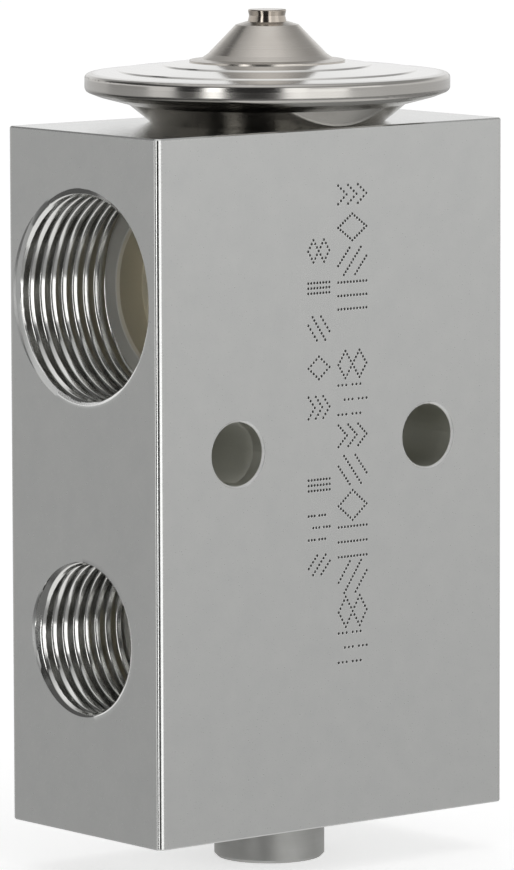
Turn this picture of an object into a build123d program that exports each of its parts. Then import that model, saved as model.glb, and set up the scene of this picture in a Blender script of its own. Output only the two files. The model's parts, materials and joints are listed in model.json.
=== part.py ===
from build123d import *
import math
import os

# Block-type thermostatic expansion valve, in millimetres.
# +Z is up, the marked front faces -Y, the first pair of ports opens towards -X.
# The origin is below the middle of the block, level with the foot of the adjusting plug.

# ---------------------------------------------------------------- driving sizes

# Block, sawn and milled from extruded bar
BLOCK_WIDTH = 49.0          # between the two port faces, along X
BLOCK_DEPTH = 26.5          # along Y
BLOCK_HEIGHT = 77.0
BLOCK_CORNER_RADIUS = 0.7   # the four upright edges, as extruded
BLOCK_EDGE_BREAK = 0.15     # chamfer round the sawn top and bottom

# Valve axis, shared by the power element, rod, pin, ball, spring and plug
AXIS_X = 1.5

# Through holes for the two clamping bolts, front to back
BOLT_HOLE_RADIUS = 3.5
BOLT_SPACING = 27.0
BOLT_HEIGHT = 42.3          # above the block's underside
BOLT_HOLE_CHAMFER = 0.25

# Return line: M24 x 1.5 ports on both faces and one straight passage
RETURN_HEIGHT = 58.95       # above the block's underside
RETURN_THREAD_RADIUS = 12.0
RETURN_PILOT_RADIUS = 9.2
RETURN_PASSAGE_RADIUS = 8.0
RETURN_START_SHIFT = 1.0    # sideways, of the mark that the thread cutter leaves as it enters

# Liquid line: M18 x 1.5 ports, inlet low on the -X face, outlet higher on the +X face
INLET_HEIGHT = 21.6         # above the block's underside
OUTLET_HEIGHT = 28.7
LIQUID_THREAD_RADIUS = 9.0
LIQUID_PILOT_RADIUS = 5.5
LIQUID_PASSAGE_RADIUS = 2.75
LIQUID_START_SHIFT = 2.0

# All four ports
THREAD_DEPTH = 12.0
PILOT_LENGTH = 3.5          # from the end of the thread to the next shoulder
PILOT_CHAMFER = 0.35
THREAD_START_REACH = 0.35   # how far the cutter's mark goes past the thread's own circle
THREAD_START_DEPTH = 0.15
THREAD_FLANK_ANGLE = 60.0   # degrees, between a flank of the thread and the port's axis
CHAMBER_ABOVE_INLET = 0.05  # from the top of the inlet passage to the chamber's roof

# Socket for the power element, in the top of the block
SOCKET_RADIUS = 10.0
SOCKET_DEPTH = 7.0
SOCKET_THROAT_RADIUS = 5.0  # from the socket down into the return passage
HEAD_SEAL_WIDTH = 1.8       # recess for the seal under the bowl, round the socket
HEAD_SEAL_DEPTH = 1.3

# Power element, heights above the block's top
NECK_LENGTH = 6.5
NECK_BORE_RADIUS = 7.0
BOWL_FOOT_RADIUS = 12.95
BOWL_KNEE_RADIUS = 15.4
BOWL_KNEE_HEIGHT = 2.0
FLANGE_ROOT_RADIUS = 18.7
FLANGE_ROOT_HEIGHT = 2.87
RIM_RADIUS = 20.2
RIM_BOTTOM_HEIGHT = 3.45
RIM_JOINT_HEIGHT = 4.35     # where the diaphragm lies between the two covers
RIM_TOP_HEIGHT = 5.3
RIM_LOWER_ROUND = 0.6       # the rounded outer edges of the two rims
RIM_UPPER_ROUND = 0.5
RIM_LAND_WIDTH = 4.2        # flat ring on which the diaphragm is clamped
COVER_WALL = 0.9
BOWL_FLOOR = 1.0            # metal between the inside of the bowl and the block
LID_OUTER_RING_RADIUS = 16.5
LID_INNER_RING_RADIUS = 11.5
LID_RING_STEP = 0.12
LID_OUTER_HEIGHT = 5.75
LID_INNER_HEIGHT = 6.3
LID_CROWN_HEIGHT = 6.6
LID_HOLE_RADIUS = 3.0
LID_CROWN_MARGIN = 0.5      # flat ring left round the cone's skirt
DIAPHRAGM_RADIUS = 19.2
DIAPHRAGM_THICKNESS = 0.15
DIAPHRAGM_FLAT_RADIUS = 9.0
DIAPHRAGM_WAVES = 2
DIAPHRAGM_WAVE_PITCH = 3.0
DIAPHRAGM_WAVE_HEIGHT = 0.25

# Cone and filling stub, heights above the block's top
CONE_SKIRT_RADIUS = 8.6
CONE_SKIRT_THICKNESS = 0.35
CONE_FOOT_RADIUS = 7.3
CONE_SIDE_RADIUS = 6.57
CONE_SIDE_HEIGHT = 7.45
CONE_SHOULDER_RADIUS = 3.48
CONE_SHOULDER_HEIGHT = 10.65
CONE_SHOULDER_ROUND = 0.3
CONE_TIP_RADIUS = 2.35
CONE_TIP_HEIGHT = 11.0
STUB_RADIUS = 2.15
STUB_WAIST_RADIUS = 2.0
STUB_HEIGHT = 12.35
STUB_BORE_RADIUS = 1.1
STUB_TOP_ROUND = 0.15
STUB_ROOT_LENGTH = 3.4      # how far the stub goes down into the cone

# Stop plate under the diaphragm
STOP_PLATE_RADIUS = 11.0
STOP_PLATE_THICKNESS = 1.2
STOP_HUB_RADIUS = 4.6
STOP_HUB_LENGTH = 4.2
STOP_HUB_ROOF = 0.8         # metal left above the rod's end

# Sensing rod, its seal and the pin below it
ROD_RADIUS = 3.0
ROD_SOCKET_DEPTH = 6.5      # the rod's guide, below the floor of the return passage
ROD_END_SPACE = 1.0         # below the rod, for its downward travel
ROD_SEAL_POCKET_RADIUS = 4.7
ROD_SEAL_POCKET_DEPTH = 3.4
ROD_SEAL_SECTION = 0.8      # radius of the seal's cord
RETAINER_THICKNESS = 0.4
RETAINER_TEETH = 6
RETAINER_NOTCH = 1.0        # side of the square notches between the teeth
PIN_RADIUS = 0.95
PIN_REACH = 2.0             # how far the pin goes up into the rod

# Ball, seat and valve chamber
ORIFICE_RADIUS = 1.7
BALL_RADIUS = 2.6
SEAT_WIDTH = 0.7            # of the 45 degree seat, measured along the radius
CHAMBER_RADIUS = 5.6
SEAT_GAP = 0.03             # what the ball leaves open at rest

# Ball carrier, its clip and the spring
CARRIER_CUP_RADIUS = 3.6
CARRIER_CUP_HEIGHT = 2.0
CARRIER_FLANGE_RADIUS = 4.6
CARRIER_FLANGE_THICKNESS = 1.3
CARRIER_SPIGOT_RADIUS = 2.5
CARRIER_SPIGOT_LENGTH = 2.0
CARRIER_FLOOR = 0.6         # metal under the ball's cone
CLIP_THICKNESS = 0.3
CLIP_LEG_WIDTH = 2.4
CLIP_LEG_HEIGHT = 3.2
CLIP_LEGS = 3
SPRING_WIRE_RADIUS = 0.45
SPRING_COIL_RADIUS = 3.5
SPRING_TURNS = 4.0

# Adjusting plug
PLUG_FOOT_RADIUS = 6.16
PLUG_FOOT_LENGTH = 5.2      # what stands out below the block
PLUG_FOOT_BEVEL = 0.35
PLUG_THREAD_STEP = 0.9      # how far the plug's threaded bore is wider than the chamber
PLUG_THREAD_LENGTH = 6.2
PLUG_RELIEF_LENGTH = 0.6    # turned-down length between foot and thread, inside the block
PLUG_SEAL_LENGTH = 5.0
PLUG_GROOVE_HEIGHT = 3.5    # middle of the O-ring groove, above the thread
PLUG_GROOVE_DEPTH = 1.35
PLUG_GROOVE_WIDTH = 2.0
PLUG_SPIGOT_LENGTH = 2.2
PLUG_TRAVEL = 1.0           # each way from the factory setting
PLUG_BORE_SPARE = 0.3       # threaded bore left above the plug at the end of its travel
HEX_SOCKET_ACROSS = 5.0
HEX_SOCKET_DEPTH = 4.0

LEAD_CHAMFER = 0.4          # at the start of each screwed or sliding piece
EDGE_CHAMFER = 0.3          # other turned edges

# Clearances
RUNNING_FIT = 0.05          # a sliding or turning shaft in its bore
THREAD_FIT = 0.05           # a screwed piece in its smooth, unthreaded bore
STATIC_FIT = 0.02           # seals and washers that sit still

# ---------------------------------------------------------------- sizes and heights that follow

HEAD_SEAL_RADIUS = SOCKET_RADIUS + HEAD_SEAL_WIDTH
PLUG_THREAD_RADIUS = CHAMBER_RADIUS + PLUG_THREAD_STEP

BLOCK_FOOT = PLUG_FOOT_LENGTH
BLOCK_TOP = BLOCK_FOOT + BLOCK_HEIGHT
RETURN_Z = BLOCK_FOOT + RETURN_HEIGHT
INLET_Z = BLOCK_FOOT + INLET_HEIGHT
OUTLET_Z = BLOCK_FOOT + OUTLET_HEIGHT
BOLT_Z = BLOCK_FOOT + BOLT_HEIGHT

RETURN_FLOOR = RETURN_Z - RETURN_PASSAGE_RADIUS
ROD_FOOT = RETURN_FLOOR - ROD_SOCKET_DEPTH
ROD_SEAL_FLOOR = RETURN_FLOOR - ROD_SEAL_POCKET_DEPTH
CHAMBER_TOP = INLET_Z + LIQUID_PASSAGE_RADIUS + CHAMBER_ABOVE_INLET
SEAT_TOP = CHAMBER_TOP + SEAT_WIDTH

HALF_ROOT = math.sqrt(0.5)
CONTACT_RADIUS = BALL_RADIUS * HALF_ROOT
BALL_Z = SEAT_TOP - (CONTACT_RADIUS - ORIFICE_RADIUS) - CONTACT_RADIUS - SEAT_GAP / HALF_ROOT
CARRIER_CONE_TIP = BALL_Z - BALL_RADIUS / HALF_ROOT - STATIC_FIT
CARRIER_FLANGE_FOOT = CARRIER_CONE_TIP - CARRIER_FLOOR

PLUG_THREAD_FOOT = BLOCK_FOOT + PLUG_RELIEF_LENGTH
PLUG_THREAD_TOP = PLUG_THREAD_FOOT + PLUG_THREAD_LENGTH
PLUG_SEAL_TOP = PLUG_THREAD_TOP + PLUG_SEAL_LENGTH
PLUG_BORE_TOP = PLUG_THREAD_TOP + PLUG_TRAVEL + PLUG_BORE_SPARE
GROOVE_Z = PLUG_THREAD_TOP + PLUG_GROOVE_HEIGHT

DIAPHRAGM_FOOT = BLOCK_TOP + RIM_JOINT_HEIGHT
DIAPHRAGM_TOP = DIAPHRAGM_FOOT + DIAPHRAGM_THICKNESS
STOP_PLATE_TOP = DIAPHRAGM_FOOT - STATIC_FIT
STOP_PLATE_FOOT = STOP_PLATE_TOP - STOP_PLATE_THICKNESS
STOP_HUB_FOOT = STOP_PLATE_FOOT - STOP_HUB_LENGTH
ROD_TOP = STOP_PLATE_FOOT - STOP_HUB_ROOF


# ---------------------------------------------------------------- helpers

def turned(points, rounds=None):
    """A closed outline of (radius, height) points, revolved about the valve axis.

    rounds gives the radius of each corner that is rounded, by the corner's number.
    """
    corners = [Vector(radius, 0, height) for radius, height in points]
    section = make_face(Polyline(*corners, close=True))
    for number, radius in (rounds or {}).items():
        corner = section.vertices().sort_by_distance(corners[number])[0]
        section = fillet(corner, radius)
    return Pos(AXIS_X, 0, 0) * revolve(section, Axis.Z)


def shaft(radius, foot, top):
    """A plain cylinder on the valve axis."""
    middle = (foot + top) / 2
    return Pos(AXIS_X, 0, middle) * Cylinder(radius, top - foot)


def seal_ring(inner, outer, height):
    """An O-ring that fills the gap between two radii, lying level at a height."""
    section = (outer - inner) / 2
    return Pos(AXIS_X, 0, height) * Torus((inner + outer) / 2, section)


def save(shape, name):
    shape.label = name
    export_step(shape, os.path.join("parts", name + ".step"))


# ---------------------------------------------------------------- block

def port_outline(thread_radius, pilot_radius):
    """Half section of a threaded port: (depth, radius) from the mouth to the second shoulder."""
    pilot_end = THREAD_DEPTH + PILOT_LENGTH
    return [
        (0, 0),
        (0, thread_radius),
        (THREAD_DEPTH, thread_radius),
        (THREAD_DEPTH, pilot_radius + PILOT_CHAMFER),
        (THREAD_DEPTH + PILOT_CHAMFER, pilot_radius),
        (pilot_end, pilot_radius),
        (pilot_end, 0),
    ]


def thread_start_outline(thread_radius, shift):
    """Half section of the shallow mark beside a mouth, where the thread cutter went in."""
    mark_radius = thread_radius + THREAD_START_REACH - shift
    slope = math.tan(math.radians(THREAD_FLANK_ANGLE))
    return [
        (0, 0),
        (0, mark_radius),
        (THREAD_START_DEPTH, mark_radius - THREAD_START_DEPTH * slope),
        (THREAD_START_DEPTH, 0),
    ]


def port_cutter(side, height, thread_radius, pilot_radius, start_shift):
    """What the port tools remove. side is -1 or +1, for the face at -X or +X."""
    def bored(outline):
        points = [(side * (BLOCK_WIDTH / 2 - depth), radius) for depth, radius in outline]
        return revolve(make_face(Polyline(*points, close=True)), Axis.X)

    bore = bored(port_outline(thread_radius, pilot_radius))
    start = bored(thread_start_outline(thread_radius, start_shift))
    return Pos(0, 0, height) * (bore + Pos(0, -side * start_shift, 0) * start)


def cross_passage(radius, height, from_x, to_x):
    """A straight drilling along X."""
    middle = (from_x + to_x) / 2
    drilling = Rot(0, 90, 0) * Cylinder(radius, abs(to_x - from_x))
    return Pos(middle, 0, height) * drilling


def bolt_hole(x):
    """A through hole along Y with its edges broken at both faces."""
    half = BLOCK_DEPTH / 2
    mouth = BOLT_HOLE_RADIUS + BOLT_HOLE_CHAMFER
    section = [
        (0, -half),
        (mouth, -half),
        (BOLT_HOLE_RADIUS, -half + BOLT_HOLE_CHAMFER),
        (BOLT_HOLE_RADIUS, half - BOLT_HOLE_CHAMFER),
        (mouth, half),
        (0, half),
    ]
    cutter = revolve(make_face(Polyline(*section, close=True)), Axis.Y)
    return Pos(x, 0, BOLT_Z) * cutter


def valve_axis_bores():
    """Everything bored down the valve axis, from the head socket to the plug's thread."""
    outlet_floor = OUTLET_Z - LIQUID_PASSAGE_RADIUS
    thread_chamfer = PLUG_THREAD_RADIUS + LEAD_CHAMFER
    bores = shaft(SOCKET_RADIUS, BLOCK_TOP - SOCKET_DEPTH, BLOCK_TOP)
    bores += shaft(HEAD_SEAL_RADIUS, BLOCK_TOP - HEAD_SEAL_DEPTH, BLOCK_TOP)
    bores += shaft(SOCKET_THROAT_RADIUS, RETURN_Z, BLOCK_TOP - SOCKET_DEPTH)
    bores += shaft(ROD_SEAL_POCKET_RADIUS, ROD_SEAL_FLOOR, RETURN_Z)
    bores += shaft(ROD_RADIUS + RUNNING_FIT, ROD_FOOT - ROD_END_SPACE, RETURN_Z)
    bores += shaft(PIN_RADIUS + RUNNING_FIT, OUTLET_Z, ROD_FOOT)
    bores += shaft(ORIFICE_RADIUS, CHAMBER_TOP, outlet_floor + LIQUID_PASSAGE_RADIUS)
    bores += turned([
        (0, BLOCK_FOOT),
        (thread_chamfer, BLOCK_FOOT),
        (PLUG_THREAD_RADIUS, BLOCK_FOOT + LEAD_CHAMFER),
        (PLUG_THREAD_RADIUS, PLUG_BORE_TOP),
        (CHAMBER_RADIUS, PLUG_BORE_TOP + PLUG_THREAD_RADIUS - CHAMBER_RADIUS),
        (CHAMBER_RADIUS, CHAMBER_TOP),
        (ORIFICE_RADIUS + SEAT_WIDTH, CHAMBER_TOP),
        (ORIFICE_RADIUS, SEAT_TOP),
        (0, SEAT_TOP),
    ])
    return bores


def make_valve_body():
    bar = Box(BLOCK_WIDTH, BLOCK_DEPTH, BLOCK_HEIGHT)
    bar = fillet(bar.edges().filter_by(Axis.Z), BLOCK_CORNER_RADIUS)
    ends = bar.faces().sort_by(Axis.Z)
    bar = chamfer(ends[0].edges() + ends[-1].edges(), BLOCK_EDGE_BREAK)
    body = Pos(0, 0, BLOCK_FOOT + BLOCK_HEIGHT / 2) * bar
    pilot_end = BLOCK_WIDTH / 2 - THREAD_DEPTH - PILOT_LENGTH
    return_port = (RETURN_THREAD_RADIUS, RETURN_PILOT_RADIUS, RETURN_START_SHIFT)
    liquid_port = (LIQUID_THREAD_RADIUS, LIQUID_PILOT_RADIUS, LIQUID_START_SHIFT)
    for side in (-1, 1):
        body -= port_cutter(side, RETURN_Z, *return_port)
    body -= port_cutter(-1, INLET_Z, *liquid_port)
    body -= port_cutter(1, OUTLET_Z, *liquid_port)
    body -= cross_passage(RETURN_PASSAGE_RADIUS, RETURN_Z, -pilot_end, pilot_end)
    body -= cross_passage(LIQUID_PASSAGE_RADIUS, INLET_Z, -pilot_end, AXIS_X)
    body -= cross_passage(LIQUID_PASSAGE_RADIUS, OUTLET_Z, AXIS_X - ORIFICE_RADIUS, pilot_end)
    for x in (-BOLT_SPACING / 2, BOLT_SPACING / 2):
        body -= bolt_hole(x)
    return body - valve_axis_bores()


# ---------------------------------------------------------------- power element

def above_block(outline, rounds=None):
    """Turn (radius, height above the block) points into a solid on the valve axis."""
    return turned([(radius, BLOCK_TOP + height) for radius, height in outline], rounds)


def make_head_lower_cover():
    """Bowl and threaded neck, turned in one piece."""
    neck_radius = SOCKET_RADIUS - THREAD_FIT
    rim_corner = 7
    return above_block([
        (NECK_BORE_RADIUS, -NECK_LENGTH),
        (neck_radius - LEAD_CHAMFER, -NECK_LENGTH),
        (neck_radius, -NECK_LENGTH + LEAD_CHAMFER),
        (neck_radius, 0),
        (BOWL_FOOT_RADIUS, 0),
        (BOWL_KNEE_RADIUS, BOWL_KNEE_HEIGHT),
        (FLANGE_ROOT_RADIUS, FLANGE_ROOT_HEIGHT),
        (RIM_RADIUS, RIM_BOTTOM_HEIGHT),
        (RIM_RADIUS, RIM_JOINT_HEIGHT),
        (RIM_RADIUS - RIM_LAND_WIDTH, RIM_JOINT_HEIGHT),
        (BOWL_KNEE_RADIUS - COVER_WALL, BOWL_KNEE_HEIGHT + COVER_WALL),
        (BOWL_FOOT_RADIUS - COVER_WALL, BOWL_FLOOR),
        (NECK_BORE_RADIUS, BOWL_FLOOR),
    ], rounds={rim_corner: RIM_LOWER_ROUND})


def make_head_upper_cover():
    """Pressed lid: rounded rim, two turned ring steps and a flat crown for the cone."""
    crown_edge = CONE_SKIRT_RADIUS + LID_CROWN_MARGIN
    joint_height = RIM_JOINT_HEIGHT + DIAPHRAGM_THICKNESS
    rim_corner = 1
    return above_block([
        (RIM_RADIUS, joint_height),
        (RIM_RADIUS, RIM_TOP_HEIGHT),
        (LID_OUTER_RING_RADIUS + LID_RING_STEP, LID_OUTER_HEIGHT - LID_RING_STEP),
        (LID_OUTER_RING_RADIUS, LID_OUTER_HEIGHT),
        (LID_INNER_RING_RADIUS + LID_RING_STEP, LID_INNER_HEIGHT - LID_RING_STEP),
        (LID_INNER_RING_RADIUS, LID_INNER_HEIGHT),
        (crown_edge, LID_CROWN_HEIGHT),
        (LID_HOLE_RADIUS, LID_CROWN_HEIGHT),
        (LID_HOLE_RADIUS, LID_CROWN_HEIGHT - COVER_WALL),
        (crown_edge, LID_CROWN_HEIGHT - COVER_WALL),
        (LID_INNER_RING_RADIUS, LID_INNER_HEIGHT - COVER_WALL),
        (RIM_RADIUS - RIM_LAND_WIDTH, joint_height),
    ], rounds={rim_corner: RIM_UPPER_ROUND})


def make_diaphragm():
    """Thin disc with round corrugations, clamped between the rims of the covers."""
    half_pitch = DIAPHRAGM_WAVE_PITCH / 2
    profile = [(0, 0), (DIAPHRAGM_FLAT_RADIUS, 0)]
    for wave in range(DIAPHRAGM_WAVES):
        start = DIAPHRAGM_FLAT_RADIUS + wave * DIAPHRAGM_WAVE_PITCH
        profile.append((start + half_pitch, DIAPHRAGM_WAVE_HEIGHT))
        profile.append((start + DIAPHRAGM_WAVE_PITCH, 0))
    profile.append((DIAPHRAGM_RADIUS, 0))
    lower = [(r, DIAPHRAGM_FOOT + h) for r, h in profile]
    upper = [(r, DIAPHRAGM_TOP + h) for r, h in reversed(profile)]
    return turned(lower + upper)


def make_charge_cone():
    """Turned cone that closes the lid and carries the filling stub."""
    shoulder_corner = 5
    return above_block([
        (STUB_BORE_RADIUS, LID_CROWN_HEIGHT),
        (CONE_SKIRT_RADIUS, LID_CROWN_HEIGHT),
        (CONE_SKIRT_RADIUS, LID_CROWN_HEIGHT + CONE_SKIRT_THICKNESS / 2),
        (CONE_FOOT_RADIUS, LID_CROWN_HEIGHT + CONE_SKIRT_THICKNESS),
        (CONE_SIDE_RADIUS, CONE_SIDE_HEIGHT),
        (CONE_SHOULDER_RADIUS, CONE_SHOULDER_HEIGHT),
        (CONE_TIP_RADIUS, CONE_TIP_HEIGHT),
        (STUB_BORE_RADIUS, CONE_TIP_HEIGHT),
    ], rounds={shoulder_corner: CONE_SHOULDER_ROUND})


def make_charge_stub():
    """Filling tube, cut short and closed after charging."""
    waist_height = (CONE_TIP_HEIGHT + STUB_HEIGHT) / 2
    root_height = CONE_TIP_HEIGHT - STUB_ROOT_LENGTH
    root_radius = STUB_BORE_RADIUS - STATIC_FIT
    top_corner = 5
    return above_block([
        (0, root_height),
        (root_radius, root_height),
        (root_radius, CONE_TIP_HEIGHT),
        (STUB_RADIUS, CONE_TIP_HEIGHT),
        (STUB_WAIST_RADIUS, waist_height),
        (STUB_RADIUS, STUB_HEIGHT),
        (0, STUB_HEIGHT),
    ], rounds={top_corner: STUB_TOP_ROUND})


def make_stop_plate():
    """Disc that bears on the diaphragm, with a hub that takes the rod."""
    bore = ROD_RADIUS + STATIC_FIT
    return turned([
        (0, ROD_TOP + STATIC_FIT),
        (bore, ROD_TOP + STATIC_FIT),
        (bore, STOP_HUB_FOOT),
        (STOP_HUB_RADIUS, STOP_HUB_FOOT),
        (STOP_HUB_RADIUS, STOP_PLATE_FOOT),
        (STOP_PLATE_RADIUS, STOP_PLATE_FOOT),
        (STOP_PLATE_RADIUS, STOP_PLATE_TOP - EDGE_CHAMFER),
        (STOP_PLATE_RADIUS - EDGE_CHAMFER, STOP_PLATE_TOP),
        (0, STOP_PLATE_TOP),
    ])


def make_head_oring():
    middle = BLOCK_TOP - HEAD_SEAL_DEPTH / 2
    ring = seal_ring(SOCKET_RADIUS, HEAD_SEAL_RADIUS - STATIC_FIT, middle)
    slab = shaft(HEAD_SEAL_RADIUS, BLOCK_TOP - HEAD_SEAL_DEPTH, BLOCK_TOP)
    return ring & slab


# ---------------------------------------------------------------- rod and pin

def make_sensing_rod():
    rod = shaft(ROD_RADIUS, ROD_FOOT, ROD_TOP)
    rod = chamfer(rod.edges().filter_by(GeomType.CIRCLE), EDGE_CHAMFER)
    return rod - shaft(PIN_RADIUS + STATIC_FIT, ROD_FOOT, ROD_FOOT + PIN_REACH)


def make_push_pin():
    return shaft(PIN_RADIUS, BALL_Z + BALL_RADIUS + STATIC_FIT, ROD_FOOT + PIN_REACH - STATIC_FIT)


def make_rod_seal_oring():
    inner = ROD_RADIUS + RUNNING_FIT
    return seal_ring(inner, inner + 2 * ROD_SEAL_SECTION, ROD_SEAL_FLOOR + ROD_SEAL_SECTION)


def make_rod_seal_retainer():
    """Flat washer with teeth that bite into the pocket's wall."""
    foot = ROD_SEAL_FLOOR + 2 * ROD_SEAL_SECTION + STATIC_FIT
    top = foot + RETAINER_THICKNESS
    bore_radius = ROD_RADIUS + 2 * RUNNING_FIT
    washer = shaft(ROD_SEAL_POCKET_RADIUS - STATIC_FIT, foot, top)
    washer -= shaft(bore_radius, foot, top)
    notch = Box(RETAINER_NOTCH, RETAINER_NOTCH, RETAINER_THICKNESS)
    middle = (foot + top) / 2
    for turn in range(RETAINER_TEETH):
        angle = 360 * turn / RETAINER_TEETH
        place = Pos(AXIS_X, 0, middle) * Rot(0, 0, angle) * Pos(ROD_SEAL_POCKET_RADIUS, 0, 0)
        washer -= place * notch
    return washer


# ---------------------------------------------------------------- ball, carrier and spring

def make_valve_ball():
    return Pos(AXIS_X, 0, BALL_Z) * Sphere(BALL_RADIUS)


def make_ball_carrier():
    """Cup with a 90 degree cone for the ball, a flange for the spring and a spigot inside it."""
    flange_top = CARRIER_FLANGE_FOOT + CARRIER_FLANGE_THICKNESS
    cup_top = flange_top + CARRIER_CUP_HEIGHT
    spigot_foot = CARRIER_FLANGE_FOOT - CARRIER_SPIGOT_LENGTH
    return turned([
        (0, spigot_foot),
        (CARRIER_SPIGOT_RADIUS - EDGE_CHAMFER, spigot_foot),
        (CARRIER_SPIGOT_RADIUS, spigot_foot + EDGE_CHAMFER),
        (CARRIER_SPIGOT_RADIUS, CARRIER_FLANGE_FOOT),
        (CARRIER_FLANGE_RADIUS, CARRIER_FLANGE_FOOT),
        (CARRIER_FLANGE_RADIUS, flange_top),
        (CARRIER_CUP_RADIUS, flange_top),
        (CARRIER_CUP_RADIUS, cup_top),
        (cup_top - CARRIER_CONE_TIP, cup_top),
        (0, CARRIER_CONE_TIP),
    ])


def make_damping_spring():
    """Sprung clip on the carrier's flange, with legs that rub on the chamber's wall."""
    foot = CARRIER_FLANGE_FOOT + CARRIER_FLANGE_THICKNESS + STATIC_FIT
    outer = CHAMBER_RADIUS - RUNNING_FIT
    ring = shaft(outer, foot, foot + CLIP_LEG_HEIGHT)
    ring -= shaft(outer - CLIP_THICKNESS, foot + CLIP_THICKNESS, foot + CLIP_LEG_HEIGHT)
    ring -= shaft(CARRIER_CUP_RADIUS + STATIC_FIT, foot, foot + CLIP_THICKNESS)
    legs = shaft(CARRIER_FLANGE_RADIUS, foot, foot + CLIP_THICKNESS)
    for turn in range(CLIP_LEGS):
        angle = 360 * turn / CLIP_LEGS
        strip = Pos(outer / 2, 0, 0) * Box(outer, CLIP_LEG_WIDTH, CLIP_LEG_HEIGHT)
        legs += Pos(AXIS_X, 0, foot + CLIP_LEG_HEIGHT / 2) * Rot(0, 0, angle) * strip
    return ring & legs


def make_superheat_spring():
    """Coil spring from the plug's shoulder to the carrier's flange."""
    foot = PLUG_SEAL_TOP + SPRING_WIRE_RADIUS + STATIC_FIT
    top = CARRIER_FLANGE_FOOT - SPRING_WIRE_RADIUS - STATIC_FIT
    pitch = (top - foot) / SPRING_TURNS
    path = Helix(pitch, top - foot, SPRING_COIL_RADIUS)
    start = Plane(origin=path @ 0, z_dir=path % 0)
    wire = sweep(start * Circle(SPRING_WIRE_RADIUS), path=path)
    return Pos(AXIS_X, 0, foot) * wire


# ---------------------------------------------------------------- adjusting plug

def make_adjusting_plug():
    """Screwed plug: foot with a hexagon socket, thread, sealed land and a spigot in the spring."""
    thread = PLUG_THREAD_RADIUS - THREAD_FIT
    land = CHAMBER_RADIUS - RUNNING_FIT
    groove = land - PLUG_GROOVE_DEPTH
    spigot_top = PLUG_SEAL_TOP + PLUG_SPIGOT_LENGTH
    plug = turned([
        (0, 0),
        (PLUG_FOOT_RADIUS - PLUG_FOOT_BEVEL, 0),
        (PLUG_FOOT_RADIUS, PLUG_FOOT_BEVEL),
        (PLUG_FOOT_RADIUS, PLUG_THREAD_FOOT),
        (thread, PLUG_THREAD_FOOT),
        (thread, PLUG_THREAD_TOP),
        (land, PLUG_THREAD_TOP + thread - land),
        (land, GROOVE_Z - PLUG_GROOVE_WIDTH / 2),
        (groove, GROOVE_Z - PLUG_GROOVE_WIDTH / 2),
        (groove, GROOVE_Z + PLUG_GROOVE_WIDTH / 2),
        (land, GROOVE_Z + PLUG_GROOVE_WIDTH / 2),
        (land, PLUG_SEAL_TOP),
        (CARRIER_SPIGOT_RADIUS, PLUG_SEAL_TOP),
        (CARRIER_SPIGOT_RADIUS, spigot_top - EDGE_CHAMFER),
        (CARRIER_SPIGOT_RADIUS - EDGE_CHAMFER, spigot_top),
        (0, spigot_top),
    ])
    socket = extrude(RegularPolygon(HEX_SOCKET_ACROSS / 2, 6, major_radius=False), HEX_SOCKET_DEPTH)
    return plug - Pos(AXIS_X, 0, 0) * socket


def make_plug_oring():
    inner = CHAMBER_RADIUS - RUNNING_FIT - PLUG_GROOVE_DEPTH + STATIC_FIT
    return seal_ring(inner, CHAMBER_RADIUS - STATIC_FIT, GROOVE_Z)


# ---------------------------------------------------------------- build

MAKERS = {
    "valve_body": make_valve_body,
    "head_lower_cover": make_head_lower_cover,
    "head_upper_cover": make_head_upper_cover,
    "diaphragm": make_diaphragm,
    "charge_cone": make_charge_cone,
    "charge_stub": make_charge_stub,
    "stop_plate": make_stop_plate,
    "head_oring": make_head_oring,
    "sensing_rod": make_sensing_rod,
    "push_pin": make_push_pin,
    "rod_seal_oring": make_rod_seal_oring,
    "rod_seal_retainer": make_rod_seal_retainer,
    "valve_ball": make_valve_ball,
    "ball_carrier": make_ball_carrier,
    "damping_spring": make_damping_spring,
    "superheat_spring": make_superheat_spring,
    "adjusting_plug": make_adjusting_plug,
    "plug_oring": make_plug_oring,
}

os.makedirs("parts", exist_ok=True)
for node_name, make in MAKERS.items():
    save(make(), node_name)
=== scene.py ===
import bmesh
import bpy
import json
import math
from mathutils import Matrix, Vector


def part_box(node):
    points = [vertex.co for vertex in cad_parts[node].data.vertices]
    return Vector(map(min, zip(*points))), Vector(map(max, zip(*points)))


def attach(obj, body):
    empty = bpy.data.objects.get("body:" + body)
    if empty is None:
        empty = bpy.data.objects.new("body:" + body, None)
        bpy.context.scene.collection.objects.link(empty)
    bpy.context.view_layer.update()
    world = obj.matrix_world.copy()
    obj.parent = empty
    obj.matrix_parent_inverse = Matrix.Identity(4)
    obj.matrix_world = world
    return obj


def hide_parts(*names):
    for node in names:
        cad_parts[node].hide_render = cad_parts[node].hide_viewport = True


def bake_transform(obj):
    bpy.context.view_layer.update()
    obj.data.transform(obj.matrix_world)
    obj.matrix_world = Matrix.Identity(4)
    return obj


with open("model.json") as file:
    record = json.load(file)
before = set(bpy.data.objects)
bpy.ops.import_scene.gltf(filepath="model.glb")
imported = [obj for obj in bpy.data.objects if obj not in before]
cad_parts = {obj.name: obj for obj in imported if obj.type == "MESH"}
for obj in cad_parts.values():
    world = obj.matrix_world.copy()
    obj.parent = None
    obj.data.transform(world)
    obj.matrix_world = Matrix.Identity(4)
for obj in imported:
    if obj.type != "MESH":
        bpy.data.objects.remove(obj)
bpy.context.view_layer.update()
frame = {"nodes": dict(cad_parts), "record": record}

MM = 0.001
nodes = frame["nodes"]
mounts = {m["name"]: m for m in frame["record"]["mounts"]}

# ---------------------------------------------------------------- places taken from the frame

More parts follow.
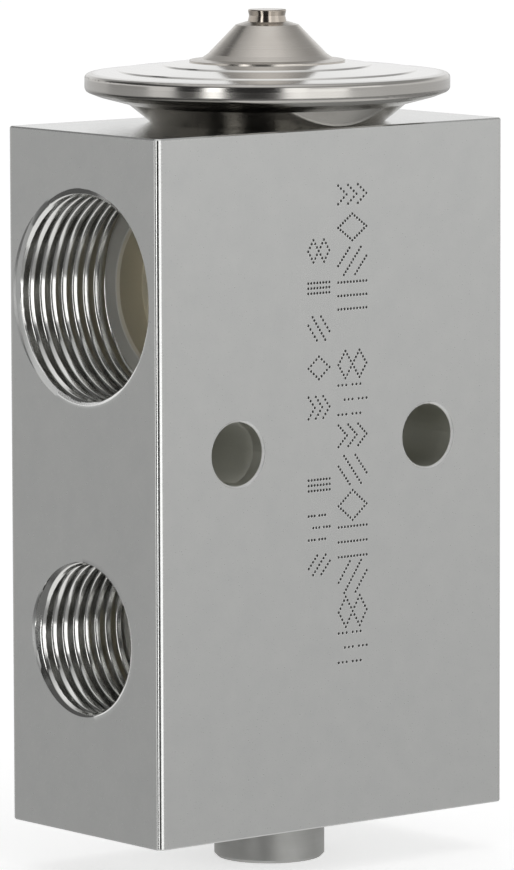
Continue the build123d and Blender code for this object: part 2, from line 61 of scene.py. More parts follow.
BLOCK_LOW, BLOCK_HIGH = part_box("valve_body")
BLOCK_MIDDLE = (BLOCK_LOW + BLOCK_HIGH) / 2
FRONT_Y = BLOCK_LOW.y
FOOT_LOW, FOOT_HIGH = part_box("adjusting_plug")
HEAD_LOW, HEAD_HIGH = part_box("head_upper_cover")
AXIS = Vector(((FOOT_LOW.x + FOOT_HIGH.x) / 2, (FOOT_LOW.y + FOOT_HIGH.y) / 2, 0))


# ---------------------------------------------------------------- camera

CAMERA_DISTANCE = 0.7528       # from the middle of the block
CAMERA_AZIMUTH = math.radians(-39.09)
CAMERA_ELEVATION = math.radians(6.87)
CAMERA_ROLL = math.radians(-0.16)
CAMERA_RIGHT = -0.00009        # the view's centre lies slightly off the block's middle
CAMERA_UP = 0.00363
CAMERA_LENS = 280.6            # millimetres, on a 36 mm sensor along the picture's long side


def camera_axes():
    """Right, up and back of the camera in the row frame."""
    a, e = CAMERA_AZIMUTH, CAMERA_ELEVATION
    back = Vector((math.sin(a) * math.cos(e), -math.cos(a) * math.cos(e), math.sin(e)))
    right = Vector((math.cos(a), math.sin(a), 0))
    up = back.cross(right)
    c, s = math.cos(CAMERA_ROLL), math.sin(CAMERA_ROLL)
    return right * c + up * s, up * c - right * s, back


def make_camera():
    right, up, back = camera_axes()
    data = bpy.data.cameras.new("camera")
    data.sensor_width = 36
    data.lens = CAMERA_LENS
    data.clip_start = 0.01
    data.clip_end = 50
    camera = bpy.data.objects.new("camera", data)
    bpy.context.scene.collection.objects.link(camera)
    place = BLOCK_MIDDLE + back * CAMERA_DISTANCE + right * CAMERA_RIGHT + up * CAMERA_UP
    turn = Matrix((right, up, back)).transposed().to_4x4()
    camera.matrix_world = Matrix.Translation(place) @ turn
    bpy.context.scene.camera = camera


# ---------------------------------------------------------------- shader helpers

def new_material(name):
    material = bpy.data.materials.new(name)
    material.use_nodes = True
    material.node_tree.nodes.clear()
    return material, material.node_tree


def add(tree, kind, **properties):
    node = tree.nodes.new(kind)
    for key, value in properties.items():
        setattr(node, key, value)
    return node


def link(tree, source, target):
    tree.links.new(source, target)


def grey(value):
    return (value, value, value, 1.0)


def maths(tree, operation, *values):
    """A Math node. Its inputs are numbers or other nodes' outputs."""
    node = add(tree, "ShaderNodeMath", operation=operation)
    for socket, value in zip(node.inputs, values):
        if isinstance(value, (int, float)):
            socket.default_value = value
        else:
            link(tree, value, socket)
    return node.outputs["Value"]


def mapped(tree, value, start, end, low=0.0, high=1.0, kind="LINEAR"):
    """The part of a value between start and end, stretched to the range from low to high."""
    node = add(tree, "ShaderNodeMapRange", interpolation_type=kind)
    node.inputs["From Min"].default_value = start
    node.inputs["From Max"].default_value = end
    node.inputs["To Min"].default_value = low
    node.inputs["To Max"].default_value = high
    link(tree, value, node.inputs["Value"])
    return node.outputs["Result"]


def between(tree, value, low, high, blur):
    """1 where a value lies between two limits and 0 outside, with soft edges."""
    rising = mapped(tree, value, low - blur, low + blur, kind="SMOOTHSTEP")
    falling = mapped(tree, value, high - blur, high + blur, 1.0, 0.0, kind="SMOOTHSTEP")
    return maths(tree, "MULTIPLY", rising, falling)


def on_object(tree):
    """The point on the object in its own frame, as one vector."""
    return add(tree, "ShaderNodeTexCoord").outputs["Object"]


def place_parts(tree, offset=(0, 0, 0)):
    """X, Y and Z of the point on the object in its own frame, from an offset point."""
    shifted = add(tree, "ShaderNodeVectorMath", operation="SUBTRACT")
    shifted.inputs[1].default_value = offset
    link(tree, on_object(tree), shifted.inputs[0])
    split = add(tree, "ShaderNodeSeparateXYZ")
    link(tree, shifted.outputs["Vector"], split.inputs["Vector"])
    return split.outputs


def noise(tree, place, scale, detail, roughness=0.5):
    """Noise read at a place. Scale is features per metre."""
    texture = add(tree, "ShaderNodeTexNoise")
    texture.inputs["Scale"].default_value = scale
    texture.inputs["Detail"].default_value = detail
    texture.inputs["Roughness"].default_value = roughness
    link(tree, place, texture.inputs["Vector"])
    return texture.outputs["Fac"]


NOISE_RANGE = (0.3, 0.7)         # where most of a noise lies


def spread(tree, value, low, high):
    """Maps noise to the range from low to high."""
    return mapped(tree, value, *NOISE_RANGE, low, high)


def tinted(tree, factor, dark, light):
    """A colour between two, by a factor from 0 to 1. Either may be another node's output."""
    mix = add(tree, "ShaderNodeMix", data_type="RGBA")
    for socket, colour in (("A", dark), ("B", light)):
        if isinstance(colour, tuple):
            mix.inputs[socket].default_value = (*colour, 1)
        else:
            link(tree, colour, mix.inputs[socket])
    link(tree, factor, mix.inputs["Factor"])
    return mix.outputs["Result"]


def bump(tree, height, distance):
    node = add(tree, "ShaderNodeBump")
    node.inputs["Strength"].default_value = 1.0
    node.inputs["Distance"].default_value = distance
    link(tree, height, node.inputs["Height"])
    return node.outputs["Normal"]


def shaded(tree, colour, roughness, normal, metallic=1.0):
    """A Principled surface from a colour, a roughness and a normal."""
    output = add(tree, "ShaderNodeOutputMaterial")
    shader = add(tree, "ShaderNodeBsdfPrincipled")
    shader.inputs["Metallic"].default_value = metallic
    link(tree, colour, shader.inputs["Base Color"])
    link(tree, roughness, shader.inputs["Roughness"])
    link(tree, normal, shader.inputs["Normal"])
    link(tree, shader.outputs["BSDF"], output.inputs["Surface"])


CAST_SCALE = 5200
TURNED_SCALE = 9000
BLOTCH_SCALE = 260
CLOUD_SCALE = 300
GRAIN_RELIEF = 0.002 * MM
BLOCK_RELIEF = 0.0015 * MM


def metal(name, dark, light, rough_low, rough_high, grain, metallic=1.0):
    """A metal whose colour, gloss and relief vary with one grain. grain(tree) gives the noise."""
    material, tree = new_material(name)
    pattern = grain(tree)
    blotches = noise(tree, on_object(tree), BLOTCH_SCALE, detail=3)
    colour = tinted(tree, spread(tree, blotches, 0, 1), dark, light)
    roughness = spread(tree, pattern, rough_low, rough_high)
    shaded(tree, colour, roughness, bump(tree, pattern, GRAIN_RELIEF), metallic)
    return material


def length(tree, a, b):
    """Length of the diagonal over two distances at right angles."""
    squares = maths(tree, "ADD", maths(tree, "MULTIPLY", a, a), maths(tree, "MULTIPLY", b, b))
    return maths(tree, "SQRT", squares)


def axis_radius(tree):
    """Distance of the point from the valve axis."""
    x, y, _ = place_parts(tree, AXIS)
    return length(tree, x, y)


def turned_grain(tree):
    """Fine rings round the valve axis: noise read by radius and height only."""
    ring = add(tree, "ShaderNodeCombineXYZ")
    link(tree, axis_radius(tree), ring.inputs["X"])
    link(tree, place_parts(tree)[2], ring.inputs["Z"])
    return noise(tree, ring.outputs["Vector"], TURNED_SCALE, detail=3)


def cast_grain(tree):
    """Even fine satin grain."""
    return noise(tree, on_object(tree), CAST_SCALE, detail=4, roughness=0.6)


# ---------------------------------------------------------------- materials

BOLTS = mounts["clamp_bolts"]
BOLT_X = BOLTS["dims"]["spacing_x_mm"] / 2 * MM     # either side of the middle
BOLT_Z = BOLTS["pos_m"][2]
BOLT_RADIUS = BOLTS["dims"]["hole_r_mm"] * MM

# Regions of the block that its material tells apart, each between two places
BORES_X = (-12.6 * MM, 12.6 * MM)      # box round the bores, just past the ports' shoulders
BORES_Y = (-11.5 * MM, 11.5 * MM)
BORES_Z = (22.5 * MM, 75.7 * MM)
PASSAGE_X = (-12.4 * MM, 12.4 * MM)    # the part of that box behind the shoulders
HOLE_EDGE = (BOLT_RADIUS + 0.01 * MM, BOLT_RADIUS + 0.03 * MM)
HOLE_RIM = (BOLT_RADIUS + 0.02 * MM, BOLT_RADIUS + 0.22 * MM)
HOLE_RIM_Y = (12.99 * MM, 13.01 * MM)
TOP_Z = (81.9 * MM, 82.15 * MM)
CORNER_X = (23.8 * MM, 24.0 * MM)
CORNER_Y = (12.55 * MM, 12.75 * MM)
REGION_BLUR = 0.05 * MM
HOLE_RIM_BLUR = 0.02 * MM

FACE_COLOURS = ((0.585, 0.59, 0.58), (0.615, 0.618, 0.605))
# painted light: the bores and the return passage are paler than the face, lifting the shade
# inside them; the passage is also browner
BORE_PAINTED_LIGHT_COLOUR = (0.95, 0.94, 0.90)
PASSAGE_PAINTED_LIGHT_COLOUR = (0.92, 0.885, 0.78)
# painted light: the bolt holes are paler than the face, lifting the shade inside them
HOLE_PAINTED_LIGHT_COLOUR = (0.74, 0.74, 0.69)
# painted highlight: a pale ring round each bolt hole
HOLE_RIM_PAINTED_HIGHLIGHT = (0.90, 0.90, 0.89)
FACE_ROUGHNESS = (0.27, 0.33)
SMOOTHER_EDGES = -0.13                 # added to the roughness of the top and the corners
ROUGHER_BORES = 0.45
ROUGHER_HOLES = 0.20
ROUGHER_RIMS = 0.35


def block_material():
    """Satin aluminium. Rougher and browner in the return passage. Paler in the bores, the passage
    and the bolt holes, as painted light that lifts their shade, with a painted highlight round
    the bolt holes.
    """
    material, tree = new_material("block_satin")
    grain = cast_grain(tree)
    cloud = noise(tree, on_object(tree), CLOUD_SCALE, detail=4, roughness=0.65)
    x, y, z = place_parts(tree)
    beside, before = maths(tree, "ABSOLUTE", x), maths(tree, "ABSOLUTE", y)

    bores = maths(tree, "MULTIPLY", between(tree, x, *BORES_X, REGION_BLUR),
                  between(tree, y, *BORES_Y, REGION_BLUR))
    bores = maths(tree, "MULTIPLY", bores, between(tree, z, *BORES_Z, REGION_BLUR))
    passage = maths(tree, "MULTIPLY", bores, between(tree, x, *PASSAGE_X, REGION_BLUR))

    from_bolt = length(tree, maths(tree, "SUBTRACT", beside, BOLT_X),
                       maths(tree, "SUBTRACT", z, BOLT_Z))
    hole = mapped(tree, from_bolt, *HOLE_EDGE, 1.0, 0.0)
    # painted highlight round each bolt hole, on the front and back faces only
    rim = maths(tree, "MULTIPLY", between(tree, from_bolt, *HOLE_RIM, HOLE_RIM_BLUR),
                mapped(tree, before, *HOLE_RIM_Y))

    corner = maths(tree, "MULTIPLY", mapped(tree, beside, *CORNER_X),
                   mapped(tree, before, *CORNER_Y))
    edges = maths(tree, "MAXIMUM", mapped(tree, z, *TOP_Z), corner)

    colour = tinted(tree, spread(tree, cloud, 0, 1), *FACE_COLOURS)
    roughness = spread(tree, grain, *FACE_ROUGHNESS)
    # painted light in the bores, the passage and the bolt holes, and a painted highlight round
    # the holes
    for region, shade in ((bores, BORE_PAINTED_LIGHT_COLOUR), (passage, PASSAGE_PAINTED_LIGHT_COLOUR), (hole, HOLE_PAINTED_LIGHT_COLOUR),
                          (rim, HOLE_RIM_PAINTED_HIGHLIGHT)):
        colour = tinted(tree, region, colour, shade)
    for region, change in ((edges, SMOOTHER_EDGES), (bores, ROUGHER_BORES),
                           (hole, ROUGHER_HOLES), (rim, ROUGHER_RIMS)):
        roughness = maths(tree, "ADD", roughness, maths(tree, "MULTIPLY", region, change))
    shaded(tree, colour, roughness, bump(tree, grain, BLOCK_RELIEF))
    return material


COVER_RIM = (18.8 * MM, 19.4 * MM)     # radii over which a cover turns into its satin rim
COVER_RIM_COLOUR = (0.48, 0.465, 0.44)
COVER_SPREAD = 0.05                    # between a cover's least and greatest roughness
ROUGHER_COVER_RIM = 0.05


def cover_material(name, colour, roughness):
    """Turned steel of a cover of the head, with the same satin rim on both."""
    material, tree = new_material(name)
    pattern = turned_grain(tree)
    radius = axis_radius(tree)
    rim = mapped(tree, radius, *COVER_RIM)
    shade = tinted(tree, rim, colour, COVER_RIM_COLOUR)
    gloss = maths(tree, "ADD", spread(tree, pattern, roughness, roughness + COVER_SPREAD),
                  maths(tree, "MULTIPLY", rim, ROUGHER_COVER_RIM))
    shaded(tree, shade, gloss, bump(tree, pattern, GRAIN_RELIEF))
    return material


def make_materials():
    return {
        "block": block_material(),
        "thread": metal("port_thread_cut", (0.70, 0.70, 0.68), (0.76, 0.76, 0.74), 0.10, 0.16,
                        cast_grain),
        "mouth": metal("port_mouth_cut", (0.80, 0.80, 0.79), (0.88, 0.88, 0.87), 0.22, 0.30,
                       cast_grain),
        # painted highlight on the rims of the peened dots, and painted shade in their pits
        "mark_rim_painted_highlight": metal("mark_rim_painted_highlight", (0.86, 0.86, 0.85), (0.90, 0.90, 0.89), 0.35, 0.45,
                          cast_grain),
        "mark_pit_painted_shade": metal("mark_pit_painted_shade", (0.035, 0.035, 0.033), (0.05, 0.05, 0.047), 0.5, 0.6,
                          cast_grain, metallic=0.2),
        "lid": cover_material("lid_polished", (0.72, 0.71, 0.69), 0.07),
        "bowl": cover_material("bowl_turned", (0.42, 0.405, 0.38), 0.13),
        "cone": metal("cone_satin", (0.52, 0.49, 0.45), (0.58, 0.55, 0.51), 0.20, 0.28,
                      turned_grain),
        "stub": metal("stub_drawn", (0.40, 0.36, 0.31), (0.48, 0.43, 0.38), 0.10, 0.18,
                      turned_grain),
        "plug": metal("plug_turned", (0.40, 0.40, 0.385), (0.48, 0.48, 0.465), 0.46, 0.54,
                      turned_grain),
        "brass": metal("brass_turned", (0.62, 0.47, 0.24), (0.74, 0.58, 0.32), 0.22, 0.34,
                       turned_grain),
        "rod": metal("rod_turned", (0.62, 0.62, 0.61), (0.72, 0.72, 0.71), 0.20, 0.32,
                     turned_grain),
        "spring": metal("spring_wire", (0.36, 0.36, 0.36), (0.46, 0.46, 0.46), 0.22, 0.34,
                        cast_grain),
        "rubber": metal("seal_black", (0.012, 0.016, 0.014), (0.022, 0.028, 0.025), 0.45, 0.6,
                        cast_grain, metallic=0.0),
    }


NODE_FINISH = {
    "valve_body": "block",
    "head_lower_cover": "bowl",
    "head_upper_cover": "lid",
    "diaphragm": "spring",
    "charge_cone": "cone",
    "charge_stub": "stub",
    "stop_plate": "brass",
    "head_oring": "rubber",
    "sensing_rod": "rod",
    "push_pin": "rod",
    "rod_seal_oring": "rubber",
    "rod_seal_retainer": "spring",
    "valve_ball": "lid",
    "ball_carrier": "brass",
    "damping_spring": "spring",
    "superheat_spring": "spring",
    "adjusting_plug": "plug",
    "plug_oring": "rubber",
}


def finish_nodes(materials):
    for name, finish in NODE_FINISH.items():
        slots = nodes[name].data.materials
        slots.clear()
        slots.append(materials[finish])


# ---------------------------------------------------------------- pieces

SAME_PLACE = 1e-7                # metres within which two points are one
SHARP_EDGE = math.radians(30)


def strip(first, second, count):
    """Faces between two closed rings of points, from the number of each ring's first point."""
    return [(first + i, first + (i + 1) % count, second + (i + 1) % count, second + i)
            for i in range(count)]


def make_piece(name, body, points, faces, materials, choice=None):
    """A mesh piece that rides on a body, if one is given. choice is each face's material."""
    data = bpy.data.meshes.new(name)
    data.from_pydata(points, [], faces)
    for material in materials:
        data.materials.append(material)
    if choice:
        data.polygons.foreach_set("material_index", choice)
    mesh = bmesh.new()
    mesh.from_mesh(data)
    bmesh.ops.remove_doubles(mesh, verts=mesh.verts, dist=SAME_PLACE)
    bmesh.ops.dissolve_degenerate(mesh, edges=mesh.edges, dist=SAME_PLACE)
    bmesh.ops.recalc_face_normals(mesh, faces=mesh.faces)
    mesh.to_mesh(data)
    mesh.free()
    data.shade_smooth()
    data.set_sharp_from_angle(angle=SHARP_EDGE)
    piece = bpy.data.objects.new(name, data)
    bpy.context.scene.collection.objects.link(piece)
    if body:
        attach(piece, body)
    return piece


# ---------------------------------------------------------------- port threads

THREAD_PITCH = 1.5 * MM
FLANK = math.radians(30)         # between a flank and the port's radius
THREAD_END = 12.0 * MM           # depth of the port's first shoulder
WALL_GRIP = 0.03 * MM            # how far the sleeve stands in the wall of the bore
FACE_GAP = 0.004 * MM            # how far the sleeve's front lies below the port face
MOUTH_TILT = math.radians(20)    # between the flat chamfer round the mouth and the port face
MOUTH_ZONE = 1.7 * MM            # depth down to which rows lie level instead of along the helix
MOUTH_STEP = 0.034 * MM
START_DEPTH = 0.15 * MM          # of the shallow mark where the thread cutter went in
START_REACH = 0.35 * MM
START_SLOPE = math.tan(math.radians(60))
START_STEPS = 4                  # repeats that settle where that mark meets the thread
MARK_ROWS = 2                    # rows of faces that show that mark
COLUMNS = 240                    # steps round a port
CREST_TILT = math.radians(32)    # the crest slopes outwards towards the mouth
CREST_WIDTH = 0.42 * MM
FRONT_ROUND = 0.10 * MM          # from the crest's front corner to where its rounding starts
BACK_ROUND = 0.05 * MM
ROUND_STEPS = 4

# crest height, mouth width, helix start, mark's shift
RETURN_THREAD = (0.90 * MM, 0.3 * MM, 0.22 * MM, 1.0 * MM)
LIQUID_THREAD = (0.94 * MM, 0.5 * MM, 0.74 * MM, 2.0 * MM)


def rounded_corner(before, corner, after, size):
    """Points of a curve that rounds a corner of a profile, from one side to the other."""
    before, corner, after = Vector(before), Vector(corner), Vector(after)
    start = corner + (before - corner).normalized() * size
    end = corner + (after - corner).normalized() * size
    steps = [i / ROUND_STEPS for i in range(ROUND_STEPS + 1)]
    return [start * (1 - t) ** 2 + corner * 2 * t * (1 - t) + end * t ** 2 for t in steps]


def thread_profile(height):
    """(depth, rise) points over one crest, from the middle of its width."""
    half = CREST_WIDTH / 2
    front_height = height - CREST_WIDTH * math.tan(CREST_TILT)
    front_root = (-half - front_height * math.tan(FLANK), 0)
    front, back = (-half, front_height), (half, height)
    back_root = (half + height * math.tan(FLANK), 0)
    profile = [Vector(front_root)]
    profile += rounded_corner(front_root, front, back, FRONT_ROUND)
    profile += rounded_corner(front, back, back_root, BACK_ROUND)
    return profile + [Vector(back_root)]


def thread_rise(profile, place):
    """Height above the root at a place along the profile of one crest."""
    for (x0, rise0), (x1, rise1) in zip(profile, profile[1:]):
        if x0 <= place <= x1:
            return rise0 + (rise1 - rise0) * (place - x0) / (x1 - x0)
    return 0.0


def make_thread(mount, shape, materials):
    """Helical inner thread with its mouth, as a sleeve standing on the wall of a plain bore."""
    height, mouth_width, helix_start, shift = shape
    profile = thread_profile(height)
    port = mounts[mount]
    side = port["axis"][0]
    middle = port["pos_m"][2]
    outer = port["dims"]["r_mm"] * MM
    inner = outer - height
    mouth = outer - mouth_width
    mark = outer + START_REACH - shift
    face_x = BLOCK_HIGH.x if side > 0 else BLOCK_LOW.x
    turns = range(-1, math.ceil(THREAD_END / THREAD_PITCH) + 1)
    level_rows = math.ceil(MOUTH_ZONE / MOUTH_STEP)

    def surface(depth, lead):
        """Radius at a depth, and whether the mouth's cone is what shows there."""
        place = (depth - lead + THREAD_PITCH / 2) % THREAD_PITCH - THREAD_PITCH / 2
        thread = outer - thread_rise(profile, place)
        cone = mouth - depth / math.tan(MOUTH_TILT)
        return max(thread, cone, inner), cone > thread

    points, in_mouth = [], []

    def put(angle, depth, radius, flag):
        points.append((face_x - side * depth, -side * radius * math.cos(angle),
                       middle + radius * math.sin(angle)))
        in_mouth.append(flag)

    for column in range(COLUMNS + 1):
        angle = 2 * math.pi * column / COLUMNS
        lead = helix_start + THREAD_PITCH * column / COLUMNS
        reach = shift * math.cos(angle) + math.sqrt(mark ** 2 - (shift * math.sin(angle)) ** 2)
        outer_start = min(max((reach - outer) / START_SLOPE, FACE_GAP), START_DEPTH)
        inner_start = outer_start
        for _ in range(START_STEPS):
            edge = surface(inner_start, lead)[0]
            inner_start = min(max((reach - edge) / START_SLOPE, FACE_GAP), START_DEPTH)
        put(angle, outer_start + WALL_GRIP, outer + WALL_GRIP, True)
        put(angle, outer_start, outer, True)
        for row in range(level_rows + 1):
            depth = inner_start + (MOUTH_ZONE - inner_start) * row / level_rows
            put(angle, depth, *surface(depth, lead))
        for turn in turns:
            for place, _ in profile:
                depth = lead + turn * THREAD_PITCH + place
                depth = min(max(depth, MOUTH_ZONE), THREAD_END)
                put(angle, depth, *surface(depth, lead))
        put(angle, THREAD_END, outer + WALL_GRIP, False)

    count = len(points) // (COLUMNS + 1)
    finishes = [materials["thread"], materials["mouth"], materials["block"]]
    thread_cut, mouth_cut, mark_cut = range(len(finishes))
    faces, choice = [], []
    for column in range(COLUMNS):
        for row, corners in enumerate(strip(column * count, (column + 1) * count, count)):
            faces.append(corners)
            if row < MARK_ROWS:
                choice.append(mark_cut)
            elif all(in_mouth[corner] for corner in corners):
                choice.append(mouth_cut)
            else:
                choice.append(thread_cut)
    make_piece(mount + "_thread", "block", points, faces, finishes, choice)


# ---------------------------------------------------------------- rim of the power element

WELD_WIDTH = 0.9 * MM
RIM_RADIUS = (HEAD_HIGH.x - HEAD_LOW.x) / 2
ON_RIM = RIM_RADIUS * 0.999      # a corner of the cover past this radius is on its rim
SAME_LEVEL = 1e-6


def make_rim_weld(materials):
    """Ring that closes the narrow gap between the two covers, flush with their rims."""
    cover = nodes["head_upper_cover"]
    corners = [cover.matrix_world @ vertex.co - AXIS for vertex in cover.data.vertices]
    edge = [corner for corner in corners if corner.to_2d().length > ON_RIM]
    top = min(corner.z for corner in edge)
    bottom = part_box("diaphragm")[0].z
    angles = sorted({round(math.atan2(corner.y, corner.x), 6) for corner in edge
                     if abs(corner.z - top) < SAME_LEVEL})
    section = [(RIM_RADIUS - WELD_WIDTH, top), (RIM_RADIUS, top), (RIM_RADIUS, bottom),
               (RIM_RADIUS - WELD_WIDTH, bottom)]
    points = [(AXIS.x + r * math.cos(a), AXIS.y + r * math.sin(a), z)
              for a in angles for r, z in section]
    count = len(section)
    faces = []
    for column in range(len(angles)):
        faces += strip(column * count, (column + 1) % len(angles) * count, count)
    make_piece("rim_weld", "block", points, faces, [materials["bowl"]])


# ---------------------------------------------------------------- superheat spring

SPRING_TURNS = 4
WIRE_RADIUS = 0.45 * MM
WIRE_RINGS = 48                  # in one turn
WIRE_SIDES = 12


def make_spring_half(name, first_turn, last_turn, materials):
    """Half of the spring's coil, between two turns."""
    low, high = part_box("superheat_spring")
    coil = (high.x - low.x) / 2 - WIRE_RADIUS
    foot = low.z + WIRE_RADIUS
    pitch = (high.z - WIRE_RADIUS - foot) / SPRING_TURNS
    points, faces = [], []
    rings = (last_turn - first_turn) * WIRE_RINGS
    for ring in range(rings + 1):
        turn = first_turn + ring / WIRE_RINGS
        angle = 2 * math.pi * turn
        outwards = Vector((math.cos(angle), math.sin(angle), 0))
        along = Vector((-math.sin(angle), math.cos(angle), pitch / (2 * math.pi * coil)))
        upwards = outwards.cross(along.normalized())
        centre = AXIS + outwards * coil + Vector((0, 0, foot + pitch * turn))
        for side in range(WIRE_SIDES):
            a = 2 * math.pi * side / WIRE_SIDES
            points.append(centre + (outwards * math.cos(a) + upwards * math.sin(a)) * WIRE_RADIUS)
    for ring in range(rings):
        faces += strip(ring * WIRE_SIDES, (ring + 1) * WIRE_SIDES, WIRE_SIDES)
    faces.append(tuple(range(WIRE_SIDES)))
    faces.append(tuple(range(rings * WIRE_SIDES, (rings + 1) * WIRE_SIDES)))
    piece = make_piece(name, None, points, faces, [materials["spring"]])
    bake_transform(piece)
    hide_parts("superheat_spring")


# ---------------------------------------------------------------- marks on the front

DOT_PITCH = 0.41 * MM
DOT_RADIUS = 0.205 * MM
DOT_SIDES = 12
# (radius, height above the face) of a mark's section, from its foot to the edge of its pit
DOT_SECTION = [(DOT_RADIUS, -0.01 * MM), (0.185 * MM, 0.022 * MM), (0.162 * MM, 0.018 * MM)]
DOT_PIT = 0.006 * MM             # height of the pit's middle above the face
DOT_CLEARANCE = DOT_PITCH * 0.97

# Lines of dots in a unit cell. They stand for a generic peened code and say nothing.
MOTIFS = {
    "lozenge": [[(0.5, 0), (1, 0.5), (0.5, 1), (0, 0.5), (0.5, 0)]],
    "pair": [[(0.25, 0), (0.5, 0.5), (0.25, 1), (0, 0.5), (0.25, 0)],
             [(0.75, 0), (1, 0.5), (0.75, 1), (0.5, 0.5), (0.75, 0)]],
    "slashes": [[(0, 0.35), (0.4, 1)], [(0.2, 0), (0.8, 1)], [(0.6, 0), (1, 0.65)]],
    "falling": [[(0, 0.65), (0.4, 0)], [(0.2, 1), (0.8, 0)], [(0.6, 1), (1, 0.35)]],
    "chevrons": [[(0, 0), (0.3, 0.5), (0, 1)], [(0.35, 0), (0.65, 0.5), (0.35, 1)],
                 [(0.7, 0), (1, 0.5), (0.7, 1)]],
    "bricks": [[(0, 0), (0.28, 0)], [(0.5, 0), (0.78, 0)], [(0.22, 0.5), (0.5, 0.5)],
               [(0.72, 0.5), (1, 0.5)], [(0, 1), (0.28, 1)], [(0.5, 1), (0.78, 1)]],
    "rails": [[(0, 0), (1, 0)], [(0, 0.5), (1, 0.5)], [(0, 1), (1, 1)]],
}

# x of the middle, width, then (z of the middle, height, motif) of each cell, in millimetres
LARGE_MARKS = (2.62, 4.42, [
    (74.87, 2.44, "chevrons"), (71.26, 3.33, "lozenge"), (67.53, 3.35, "slashes"),
    (63.79, 3.36, "rails"), (56.20, 3.40, "pair"), (52.34, 3.64, "bricks"),
    (48.37, 2.78, "chevrons"), (44.55, 3.57, "falling"), (40.63, 3.70, "lozenge"),
    (36.64, 3.72, "rails"), (32.70, 3.85, "slashes"), (28.87, 3.76, "pair"),
    (24.92, 3.66, "bricks")])
SMALL_MARKS = (-2.14, 3.39, [
    (68.91, 2.83, "pair"), (64.87, 1.53, "rails"), (60.43, 2.97, "falling"),
    (56.10, 2.88, "lozenge"), (51.76, 2.78, "chevrons"), (43.23, 1.60, "rails"),
    (38.55, 3.05, "bricks"), (34.41, 2.52, "slashes")])


def dots_along(line, width, height):
    """Points spaced evenly along a line of a motif, from the middle of its cell."""
    corners = [((u - 0.5) * width, (v - 0.5) * height) for u, v in line]
    dots = []
    for (x0, z0), (x1, z1) in zip(corners, corners[1:]):
        steps = max(1, math.floor(math.hypot(x1 - x0, z1 - z0) / DOT_PITCH))
        dots += [(x0 + (x1 - x0) * i / steps, z0 + (z1 - z0) * i / steps)
                 for i in range(steps + 1)]
    return dots


def mark_dots():
    """Places of all dots on the front face, none closer than one pitch to another."""
    kept = []
    for middle, width, cells in (LARGE_MARKS, SMALL_MARKS):
        for level, height, motif in cells:
            for line in MOTIFS[motif]:
                for x, z in dots_along(line, width * MM - 2 * DOT_RADIUS,
                                       height * MM - 2 * DOT_RADIUS):
                    place = (middle * MM + x, level * MM + z)
                    if all(math.dist(place, other) > DOT_CLEARANCE for other in kept):
                        kept.append(place)
    return kept


def make_marks(materials):
    """Peened dots: low craters with a painted highlight on the rim and painted shade in the pit.
    """
    # the rims carry a painted highlight and the pits painted shade
    finishes = [materials["mark_rim_painted_highlight"], materials["mark_pit_painted_shade"]]
    rim, pit = range(len(finishes))
    points, faces, choice = [], [], []
    turns = [2 * math.pi * i / DOT_SIDES for i in range(DOT_SIDES)]
    for x, z in mark_dots():
        start = len(points)
        for radius, rise in DOT_SECTION:
            points += [(x + radius * math.cos(t), FRONT_Y - rise, z + radius * math.sin(t))
                       for t in turns]
        points.append((x, FRONT_Y - DOT_PIT, z))
        for level in range(len(DOT_SECTION) - 1):
            low = start + level * DOT_SIDES
            faces += strip(low, low + DOT_SIDES, DOT_SIDES)
            choice += [rim] * DOT_SIDES
        edge, centre = start + (len(DOT_SECTION) - 1) * DOT_SIDES, len(points) - 1
        for i in range(DOT_SIDES):
            faces.append((edge + i, edge + (i + 1) % DOT_SIDES, centre))
            choice.append(pit)
        faces.append(tuple(range(start + DOT_SIDES - 1, start - 1, -1)))
        choice.append(rim)
    make_piece("front_marks", "block", points, faces, finishes, choice)


# ---------------------------------------------------------------- floor and studio

FLOOR_DROP = 0.00002
FLOOR_GREY = 0.82
FLOOR_WHITE = 0.55               # added for the camera only
FLOOR_REACH = 6.0


def make_floor():
    """Plain pale floor. Metal sees the studio past it, and the camera sees it as white."""
    material, tree = new_material("floor_pale")
    output = add(tree, "ShaderNodeOutputMaterial")
    path = add(tree, "ShaderNodeLightPath")
    diffuse = add(tree, "ShaderNodeBsdfDiffuse")
    diffuse.inputs["Color"].default_value = grey(FLOOR_GREY)
    glow = add(tree, "ShaderNodeEmission")
    glow.inputs["Color"].default_value = grey(1.0)
    link(tree, maths(tree, "MULTIPLY", path.outputs["Is Camera Ray"], FLOOR_WHITE),
         glow.inputs["Strength"])
    surface = add(tree, "ShaderNodeAddShader")
    link(tree, diffuse.outputs["BSDF"], surface.inputs[0])
    link(tree, glow.outputs["Emission"], surface.inputs[1])
    clear = add(tree, "ShaderNodeBsdfTransparent")
    mix = add(tree, "ShaderNodeMixShader")
    link(tree, path.outputs["Is Glossy Ray"], mix.inputs["Fac"])
    link(tree, surface.outputs["Shader"], mix.inputs[1])
    link(tree, clear.outputs["BSDF"], mix.inputs[2])
    link(tree, mix.outputs["Shader"], output.inputs["Surface"])
    mesh = bmesh.new()
    bmesh.ops.create_grid(mesh, x_segments=1, y_segments=1, size=FLOOR_REACH)
    data = bpy.data.meshes.new("floor")
    mesh.to_mesh(data)
    mesh.free()
    data.materials.append(material)
    floor = bpy.data.objects.new("floor", data)
    floor.location.z = -FLOOR_DROP
    bpy.context.scene.collection.objects.link(floor)


# Brightness of the studio by elevation in degrees, the same all round
STUDIO_RISE = [(-90, 0.95), (-50, 0.90), (-34, 0.36), (-18, 0.36), (-11, 0.56), (-4, 0.70),
               (0, 0.88), (10, 0.98), (18, 0.88), (28, 0.45), (45, 0.45), (60, 0.65), (78, 1.0),
               (90, 1.05)]
RAMP_SCALE = 2.0                 # a colour ramp holds values up to 1
AZIMUTH_BLUR = 2.5
ELEVATION_BLUR = 1.5

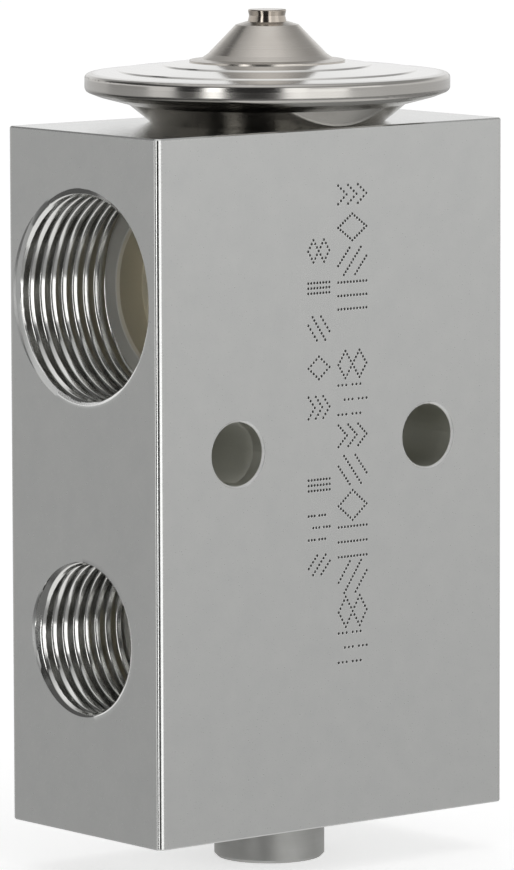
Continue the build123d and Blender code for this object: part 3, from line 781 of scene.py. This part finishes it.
# Soft boxes, cards and dark gaps: azimuth from and to, elevation from and to, brightness.
# Azimuth is in degrees from the front (-Y), positive towards +X. Later ones lie over earlier.
STUDIO_PANELS = [
    (-174, -99, -46, -18, 0.10),     # dark floor on the left
    (-99, -31, -46, -12, 0.18),      # dark floor in front
    (-174, -99, 18, 48, 0.10),       # dark ceiling on the left
    (-158, -119, -22, 3, 0.48),      # what the port faces see
    (-119, -97, -13, 8, 1.05),       # card on the left
    (-99, -29, -12, 45, 0.04),       # dark gap in front
    (-79, -67, -13, 28, 2.8),        # soft box on the left
    (-29, -13, -14, 28, 1.85),       # soft box on the right
    (-13, 13, -3, 28, 1.10),         # pale wall beside it
    (-13, 13, -12, -3, 1.95),        # strip below that wall
    (13, 38, 0, 24, 1.35),           # pale wall beyond it
]


def make_world():
    """White for the camera; for reflections and light, a pale studio with soft panels."""
    world = bpy.data.worlds.new("studio")
    bpy.context.scene.world = world
    world.use_nodes = True
    tree = world.node_tree
    tree.nodes.clear()
    coordinates = add(tree, "ShaderNodeTexCoord")
    split = add(tree, "ShaderNodeSeparateXYZ")
    link(tree, coordinates.outputs["Generated"], split.inputs["Vector"])
    x, y, z = split.outputs
    azimuth = maths(tree, "DEGREES", maths(tree, "ARCTAN2", x, maths(tree, "MULTIPLY", y, -1.0)))
    elevation = maths(tree, "DEGREES", maths(tree, "ARCSINE", z))
    ramp = add(tree, "ShaderNodeValToRGB")
    stops = ramp.color_ramp.elements
    for number, (angle, value) in enumerate(STUDIO_RISE):
        place = (angle + 90) / 180
        if number < len(stops):
            stop = stops[number]
            stop.position = place
        else:
            stop = stops.new(place)
        stop.color = grey(value / RAMP_SCALE)
    link(tree, mapped(tree, elevation, -90, 90), ramp.inputs["Fac"])
    level = maths(tree, "MULTIPLY", ramp.outputs["Color"], RAMP_SCALE)
    for left, right, low, high, value in STUDIO_PANELS:
        across = between(tree, azimuth, left, right, AZIMUTH_BLUR)
        upright = between(tree, elevation, low, high, ELEVATION_BLUR)
        mix = add(tree, "ShaderNodeMix", data_type="FLOAT")
        link(tree, maths(tree, "MULTIPLY", across, upright), mix.inputs["Factor"])
        link(tree, level, mix.inputs["A"])
        mix.inputs["B"].default_value = value
        level = mix.outputs["Result"]
    studio = add(tree, "ShaderNodeBackground")
    link(tree, level, studio.inputs["Strength"])
    white = add(tree, "ShaderNodeBackground")
    for background in (studio, white):
        background.inputs["Color"].default_value = grey(1.0)
    path = add(tree, "ShaderNodeLightPath")
    seen = maths(tree, "MAXIMUM", path.outputs["Is Camera Ray"],
                 path.outputs["Is Transmission Ray"])
    mix = add(tree, "ShaderNodeMixShader")
    link(tree, seen, mix.inputs["Fac"])
    link(tree, studio.outputs["Background"], mix.inputs[1])
    link(tree, white.outputs["Background"], mix.inputs[2])
    output = add(tree, "ShaderNodeOutputWorld")
    link(tree, mix.outputs["Shader"], output.inputs["Surface"])


# ---------------------------------------------------------------- build

bpy.context.scene.view_settings.view_transform = "Standard"
make_camera()
make_floor()
make_world()
materials = make_materials()
finish_nodes(materials)
make_thread("return_port_left", RETURN_THREAD, materials)
make_thread("return_port_right", RETURN_THREAD, materials)
make_thread("inlet_port", LIQUID_THREAD, materials)
make_thread("outlet_port", LIQUID_THREAD, materials)
make_rim_weld(materials)
make_spring_half("superheat_spring_foot", 0, 2, materials)
make_spring_half("superheat_spring_head", 2, 4, materials)
make_marks(materials)
